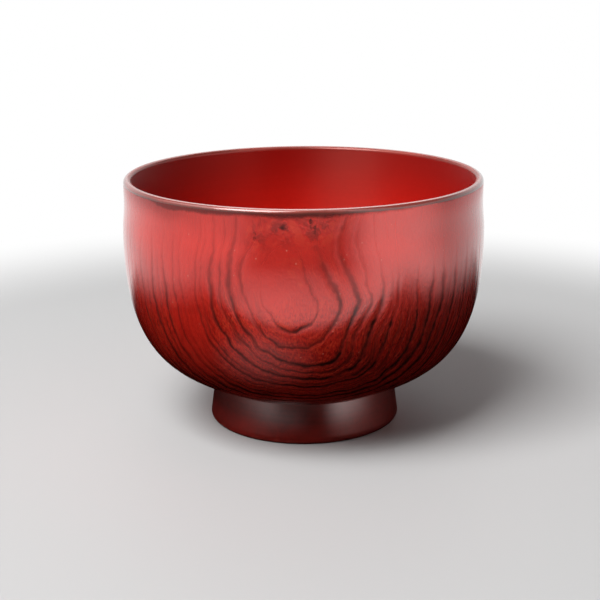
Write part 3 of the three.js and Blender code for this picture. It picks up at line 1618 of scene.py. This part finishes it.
@dataclass
class Core:
    """The turned cup and foot, and the reinforcing cloth over their edges, all under the coats.

    Args:
        section: section of the whole bowl.
        foot: the coated foot.
        cup: the coated cup.
        glue_line: gap round the spigot in millimetres.
        facets: number of facets round the axis.
    """

    section: Section
    foot: Foot
    cup: Cup
    glue_line: float = 0.15
    facets: int = 140

    def build(self, lathe: Lathe) -> None:
        """Turns and dresses the wood and the cloth.

        Args:
            lathe: what turns them.
        """
        bodies = {
            ZelkovaWood(): {"wooden_cup": self._wooden_cup(), "foot_ring": self._foot_ring()},
            HempWeave(): {"lip_cloth": self._lip_cloth(), "foot_cloth": self._foot_cloth()},
        }
        for finish, outlines in bodies.items():
            material = finish.material()
            for node, outline in outlines.items():
                piece = lathe.turn(f"{node}_finish", outline, self.facets)
                dress(piece, material)
                settle(piece, node)

    def _corners(self) -> tuple[int, int, int, int]:
        """Places on the section: corner of the recess, foot inside, foot outside and crease."""
        corner, crease = (self.section.spans[run].start for run in (Run.FOOT, Run.OUTSIDE))
        return corner, corner + self.foot.inner_steps, crease - self.foot.outer_steps, crease

    def _laps(self) -> tuple[int, int]:
        """Places on the section where the lip's cloth ends, outside and inside."""
        outside = self.section.spans[Run.OUTSIDE].stop - 1 - self.cup.outer_lap_steps
        return outside, self.section.spans[Run.INSIDE].start + self.cup.inner_lap_steps

    def _joint(self) -> tuple[Vector, Vector]:
        """The joint of cup and foot.

        Returns:
            The lower end of the ring's bore, level with the spigot, and the ring's upper outer edge,
            level with the shoulder that it bears on.
        """
        corner, inside, outside, crease = self._corners()
        under, bare = self.section.under, self.section.bare
        bore = at_height(bare[corner], bare[inside], under[corner].y)
        top = at_height(bare[outside], bare[crease], under[crease].y)
        return bore, top

    def _wooden_cup(self) -> list[Vector]:
        """The cup with its spigot and the rebate for the lip's cloth.

        Returns:
            Its outline.
        """
        *_, crease = self._corners()
        outer_lap, inner_lap = self._laps()
        bore, top = self._joint()
        spigot = bore.x - self.glue_line
        outline = [point(0.0, bore.y), point(spigot, bore.y), point(spigot, top.y)]
        outline += self.section.under[crease : outer_lap + 1 : self.cup.outer_stride]
        outline += self.section.bare[outer_lap : inner_lap + 1]
        return outline + self.section.under[inner_lap :: self.cup.inner_stride]

    def _foot_ring(self) -> list[Vector]:
        """The ring that is glued over the spigot.

        Returns:
            Its outline.
        """
        _, inside, outside, _ = self._corners()
        bore, top = self._joint()
        outline = [point(bore.x, top.y), bore, *self.section.bare[inside : outside + 1], top]
        return outline + outline[:1]

    def _lip_cloth(self) -> list[Vector]:
        """The band folded over the lip.

        Returns:
            Its outline.
        """
        outside, inside = self._laps()
        hidden = self.section.bare[outside : inside + 1]
        outline = self.section.under[outside : inside + 1] + hidden[::-1]
        return outline + outline[:1]

    def _foot_cloth(self) -> list[Vector]:
        """The sleeve round the foot, over the glued joint.

        Returns:
            Its outline.
        """
        corner, inside, outside, crease = self._corners()
        bore, top = self._joint()
        hidden = self.section.bare[inside : outside + 1]
        outline = [*self.section.under[corner : crease + 1], top, *hidden[::-1], bore]
        return outline + outline[:1]


# Studio


@dataclass(frozen=True)
class Window:
    """A pale patch of the surroundings that gloss shows.

    Args:
        level: what it adds, where 1 is white.
        angles: degrees from the front, towards the right, where it starts, is full, falls and ends.
    """

    level: float
    angles: tuple[float, float, float, float]


@dataclass(frozen=True)
class Softbox:
    """A square lamp.

    Args:
        name: its name.
        place: where it hangs, in metres.
        size: width of its face in metres.
        power: in watts.
    """

    name: str
    place: Place
    size: float
    power: float

    def hang(self, aim: Vector) -> None:
        """Hangs it so that it faces a point.

        Args:
            aim: the point, in metres.
        """
        light = bpy.data.lights.new(self.name, "AREA")
        light.shape = "SQUARE"
        light.size = self.size
        light.energy = self.power
        lamp = bpy.data.objects.new(self.name, light)
        bpy.context.scene.collection.objects.link(lamp)
        lamp.location = self.place
        lamp.rotation_euler = (aim - Vector(self.place)).to_track_quat("-Z", "Y").to_euler()


@dataclass
class Studio:
    """Pale floor that fades to white, soft light and the camera.

    The bowl's gloss shows its own surroundings: a floor that is bright near by and dim further off in
    front, white sides with windows, light behind, little overhead, and a dark card round the foot with a
    pale place on it. Lengths are in metres and angles in degrees, from the front towards the right. A
    level of 1 is white.
    """

    floor_radius: float = 3.0
    floor_sides: int = 128
    floor_roughness: float = 0.6
    floor_specular: float = 0.2
    # Colour of the floor as it is seen, and as it throws light on the bowl.
    floor_pale: Colour = (0.50, 0.50, 0.50)
    floor_under: Colour = (0.10, 0.10, 0.10)
    # Distances between which it fades to white.
    fade: Pair = (0.17, 0.29)
    # Where the card starts to end and where it has ended, to the sides, in front and behind, and
    # how far its back edge is turned.
    card_left: Pair = (0.138, 0.238)
    card_right: Pair = (0.140, 0.265)
    card_front: Pair = (0.115, 0.145)
    card_back: Pair = (0.095, 0.15)
    card_skew: float = 0.10
    # A pale place on the card, in front to the left.
    pale_place: Pair = (-0.032, -0.085)
    pale_reach: float = 0.048
    pale: float = 0.48
    # How near to grazing the floor shows what is beyond it, card or not, and how far from the bowl
    # and how far round that is dimmer.
    grazing: Pair = (0.84, 0.92)
    beyond_reach: Step = (0.05, 0.13, 0.35, 1.0)
    beyond_angles: Pair = (60.0, 105.0)
    beyond_least: float = 0.2
    # Levels of the light all round, of white, of the floor near by and of the gap in front.
    ambient: float = 0.10
    white: float = 1.0
    near: float = 1.5
    gap: float = 0.22
    # How near to grazing the near floor turns to the gap, the distances between which the gap stops
    # being dark at grazing, and the angles between which it ends.
    near_facing: Pair = (0.61, 0.85)
    gap_reach: Pair = (0.25, 0.35)
    gap_angles: Pair = (18.0, 48.0)
    low_window: Window = Window(1.0, (16.0, 46.0, 64.0, 98.0))
    high_windows: tuple[Window, ...] = (
        Window(2.0, (24.0, 38.0, 54.0, 70.0)),
        Window(3.0, (-125.0, -100.0, -50.0, -25.0)),
    )
    # Levels overhead and behind, the angles between which one turns to the other, and how steeply
    # up they begin.
    overhead: float = 0.15
    behind: float = 4.0
    behind_angles: Pair = (140.0, 165.0)
    upwards: Pair = (0.35, 0.65)
    softboxes: tuple[Softbox, ...] = (
        Softbox("key_softbox", (-0.50, -0.55, 1.06), 0.75, 24.0),
        Softbox("fill_softbox", (0.38, -0.34, 1.10), 0.8, 0.3),
    )
    aim: Place = (0.0, 0.0, 0.05)
    # The camera's place, its turns in radians and its lens and sensor in millimetres.
    camera_place: Place = (0.0, -0.3992, 0.1517)
    camera_down: float = 0.277
    camera_left: float = 0.0032
    camera_roll: float = -0.006
    lens: float = 76.26
    sensor: float = 36.0
    nearest: float = 0.01

    def build(self) -> None:
        """Makes the floor, the light and the camera."""
        self._make_floor()
        self._light_world()
        for softbox in self.softboxes:
            softbox.hang(Vector(self.aim))
        self._set_camera()
        bpy.context.scene.view_settings.view_transform = "Standard"

    def _make_floor(self) -> None:
        """A round floor, pale near the bowl and white further off."""
        bpy.ops.object.select_all(action="DESELECT")
        bpy.ops.mesh.primitive_circle_add(
            vertices=self.floor_sides, radius=self.floor_radius, fill_type="NGON"
        )
        floor = bpy.context.object
        floor.name = "floor"
        graph = Graph("pale_floor")
        x, y, _ = graph.axes()
        seen = graph.add("ShaderNodeLightPath").outputs["Is Camera Ray"]
        graph.set_shader(
            base_color=graph.blend(seen, self.floor_under, self.floor_pale),
            roughness=self.floor_roughness,
            specular_ior_level=self.floor_specular,
        )
        glow = graph.add("ShaderNodeEmission")
        gloss = self._floor_in_gloss(graph, x, y)
        graph.feed(glow.inputs["Strength"], graph.ease(seen, 0.0, 1.0, gloss, self.white))
        far = graph.times(graph.ease(graph.reach(x, y), *self.fade), seen)
        mirrored = graph.less(self._shown(graph), seen)
        mix = graph.add("ShaderNodeMixShader")
        graph.feed(mix.inputs[0], graph.most(far, mirrored))
        graph.feed(mix.inputs[1], graph.shader.outputs[0])
        graph.feed(mix.inputs[2], glow.outputs[0])
        graph.feed(graph.output.inputs["Surface"], mix.outputs[0])
        dress(floor, graph.material)

    def _floor_in_gloss(self, graph: Graph, x: Socket, y: Socket) -> Socket:
        """Level of the floor as gloss shows it.

        Args:
            graph: the floor's graph.
            x: place to the right in metres.
            y: place to the back in metres.

        Returns:
            The level.
        """
        facing = graph.add("ShaderNodeLayerWeight").outputs["Facing"]
        turned, reach = self._turned(graph, x, y), graph.reach(x, y)
        window = self._window(graph, turned, self.low_window)
        aside = self._aside(graph, turned, 0.0, 1.0)
        grazing = graph.ease(facing, *self.grazing)
        steep = graph.less(1.0, grazing)
        in_front = graph.ease(facing, *self.near_facing, self.near, self.gap)
        in_front = graph.times(in_front, graph.most(steep, graph.ease(reach, *self.gap_reach)))
        level = graph.plus(graph.ease(aside, 0.0, 1.0, in_front, self.white), window)

        beyond = graph.plus(graph.times(aside, self.white), window)
        angle = graph.math("ABSOLUTE", turned)
        fading = graph.ease(angle, *radians(*self.beyond_angles), 1.0, self.beyond_least)
        for share in (grazing, fading, graph.ease(reach, *self.beyond_reach)):
            beyond = graph.times(beyond, share)
        offsets = (graph.less(axis, at) for axis, at in zip((x, y), self.pale_place))
        pale = graph.ease(graph.reach(*offsets), 0.0, self.pale_reach, self.pale, 0.0)
        level = graph.most(graph.times(self._off_card(graph, x, y), level), beyond)
        return graph.most(level, graph.times(pale, steep))

    def _off_card(self, graph: Graph, x: Socket, y: Socket) -> Socket:
        """0 on the card to 1 outside it.

        Args:
            graph: the floor's graph.
            x: place to the right in metres.
            y: place to the back in metres.

        Returns:
            The share.
        """
        off = graph.ease(graph.times(x, -1.0), *self.card_left)
        for place, ends in (
            (x, self.card_right),
            (graph.times(y, -1.0), self.card_front),
            (graph.less(y, graph.times(x, self.card_skew)), self.card_back),
        ):
            off = graph.most(off, graph.ease(place, *ends))
        return off

    @staticmethod
    def _shown(graph: Graph) -> Socket:
        """Which rays show the surroundings: those from the camera, off gloss and through glass.

        Args:
            graph: the graph of the floor or the world.

        Returns:
            1 for those rays and 0 for others.
        """
        path = graph.add("ShaderNodeLightPath")
        shown = path.outputs["Is Camera Ray"]
        for name in ("Is Glossy Ray", "Is Transmission Ray"):
            shown = graph.most(shown, path.outputs[name])
        return shown

    @staticmethod
    def _turned(graph: Graph, x: Socket, y: Socket) -> Socket:
        """Angle of a place or a direction from straight in front, to the right, in radians."""
        return graph.math("ARCTAN2", x, graph.times(y, -1.0))

    def _aside(self, graph: Graph, turned: Socket, front: float, side: float) -> Socket:
        """A level that changes from the front to the sides.

        Args:
            graph: the graph of the floor or the world.
            turned: angle from straight in front.
            front: level in front.
            side: level at the sides and behind.

        Returns:
            The level.
        """
        return graph.ease(graph.math("ABSOLUTE", turned), *radians(*self.gap_angles), front, side)

    @staticmethod
    def _window(graph: Graph, turned: Socket, window: Window) -> Socket:
        """What a window adds to the level.

        Args:
            graph: the graph of the floor or the world.
            turned: angle from straight in front.
            window: the window.

        Returns:
            The level that it adds.
        """
        start, full, falling, end = radians(*window.angles)
        rise = graph.ease(turned, start, full, 0.0, window.level)
        return graph.times(rise, graph.ease(turned, falling, end, 1.0, 0.0))

    def _light_world(self) -> None:
        """Even light from all round, seen as white, with a gap and windows in gloss."""
        world = bpy.data.worlds.new("studio")
        world.use_nodes = True
        bpy.context.scene.world = world
        graph = Graph.of_world(world)
        direction = graph.add("ShaderNodeSeparateXYZ")
        graph.feed(direction.inputs[0], graph.add("ShaderNodeTexCoord").outputs["Generated"])
        turned = self._turned(graph, direction.outputs["X"], direction.outputs["Y"])
        seen = graph.add("ShaderNodeLightPath").outputs["Is Camera Ray"]
        around = self._aside(graph, turned, self.gap, self.white)
        around = graph.plus(around, self._window(graph, turned, self.low_window))
        angle = graph.math("ABSOLUTE", turned)
        above = graph.ease(angle, *radians(*self.behind_angles), self.overhead, self.behind)
        for window in self.high_windows:
            above = graph.plus(above, self._window(graph, turned, window))
        around = graph.ease(direction.outputs["Z"], *self.upwards, around, above)
        level = graph.ease(seen, 0.0, 1.0, around, self.white)
        strength = graph.ease(self._shown(graph), 0.0, 1.0, self.ambient, level)
        graph.feed(graph.shader.inputs["Strength"], strength)
        graph.feed(graph.shader.inputs["Color"], (1.0, 1.0, 1.0))

    def _set_camera(self) -> None:
        """The camera where the photograph was taken from."""
        lens = bpy.data.cameras.new("camera")
        lens.lens = self.lens
        lens.sensor_width = self.sensor
        lens.clip_start = self.nearest
        camera = bpy.data.objects.new("camera", lens)
        bpy.context.scene.collection.objects.link(camera)
        camera.location = self.camera_place
        turn = Matrix.Rotation(self.camera_left, 3, "Z")
        tilt = Matrix.Rotation(math.pi / 2.0 - self.camera_down, 3, "X")
        roll = Matrix.Rotation(self.camera_roll, 3, "Z")
        camera.rotation_euler = (turn @ tilt @ roll).to_euler()
        bpy.context.scene.camera = camera


def main() -> None:
    """Builds the bowl and the studio."""
    logging.basicConfig(level=logging.INFO, format="%(name)s: %(message)s")
    foot, cup, lathe = Foot(), Cup(), Lathe()
    section = Section({**foot.runs(), **cup.runs(foot.crease())}, LACQUER, CLOTH)
    cup.build(section, lathe)
    foot.build(section, lathe)
    Core(section, foot, cup).build(lathe)
    Studio().build()


if __name__ == "__main__":
    main()
